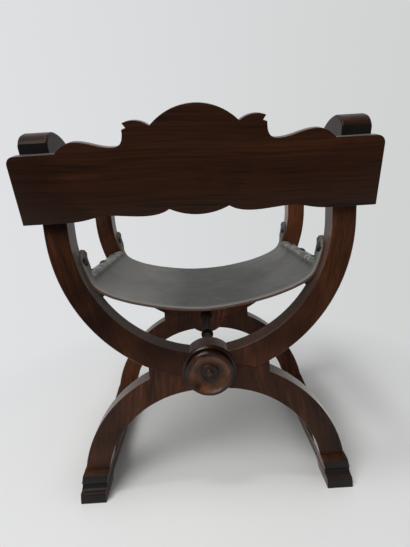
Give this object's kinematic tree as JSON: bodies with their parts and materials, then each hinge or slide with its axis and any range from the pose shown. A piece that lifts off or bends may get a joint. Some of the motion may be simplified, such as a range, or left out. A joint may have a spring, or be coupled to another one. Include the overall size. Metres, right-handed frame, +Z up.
{
  "type": "savonarola chair",
  "caption": "Folding X-frame armchair with a leather sling seat, a turned pivot with bosses, moulded floor runners and a shaped back board that lifts off.",
  "frame": {"origin": "on the floor, under the middle of the chair's bounding box", "axes": "+Z up, +Y towards the back board, +X towards the sitter's left"},
  "size_m": [0.7, 0.5702, 0.8689],
  "materials": {
    "frame_wood": "dark red-brown stain, waxed",
    "arm_wood": "dark red-brown stain, waxed, ebonised end grain behind",
    "runner_wood": "dark red-brown stain, ebonised moulded ends",
    "board_wood": "dark red-brown stain, waxed, grain along the board",
    "turned_wood": "turned, nearly black, glossy",
    "peg_wood": "stained end grain",
    "seat_leather": "thick dark grey hide, satin, raw brown edges",
    "nail_iron": "blackened dome heads"
  },
  "bodies": {
    "pivot": {"pivot_stretcher": "turned_wood", "rear_roundel": "turned_wood", "front_roundel": "turned_wood", "rear_roundel_button": "turned_wood", "front_roundel_button": "turned_wood", "seat_leather": "seat_leather"},
    "left_side": {"rear_left_member": "frame_wood", "front_left_member": "frame_wood", "left_arm": "arm_wood", "left_seat_rail": "frame_wood", "right_runner": "runner_wood", "left_arm_pegs": "peg_wood", "right_runner_pegs": "peg_wood", "left_board_peg": "peg_wood", "left_tab_nails": "nail_iron", "left_rail_nails": "nail_iron"},
    "right_side": {"rear_right_member": "frame_wood", "front_right_member": "frame_wood", "right_arm": "arm_wood", "right_seat_rail": "frame_wood", "left_runner": "runner_wood", "right_arm_pegs": "peg_wood", "left_runner_pegs": "peg_wood", "right_board_peg": "peg_wood", "right_tab_nails": "nail_iron", "right_rail_nails": "nail_iron"},
    "back_rest": {"back_board": "board_wood"}
  },
  "joints": [
    {"name": "left_fold", "type": "hinge", "parent": "pivot", "child": "left_side", "pos_m": [0, 0, 0.3195], "axis": [0, -1, 0], "range_deg": [0, 26], "deforming": ["seat_leather"]},
    {"name": "right_fold", "type": "hinge", "parent": "pivot", "child": "right_side", "pos_m": [0, 0, 0.3195], "axis": [0, 1, 0], "range_deg": [0, 26], "deforming": ["seat_leather"]},
    {"name": "board_lift", "type": "slide", "parent": "pivot", "child": "back_rest", "axis": [0, 0.2487, 0.9686], "range_m": [0, 0.341]}
  ],
  "couplings": [
    {"joint": "right_fold", "follows": "left_fold", "ratio": 1},
    {"joint": "board_lift", "follows": "left_fold", "m_per_rad": 0.75}
  ]
}
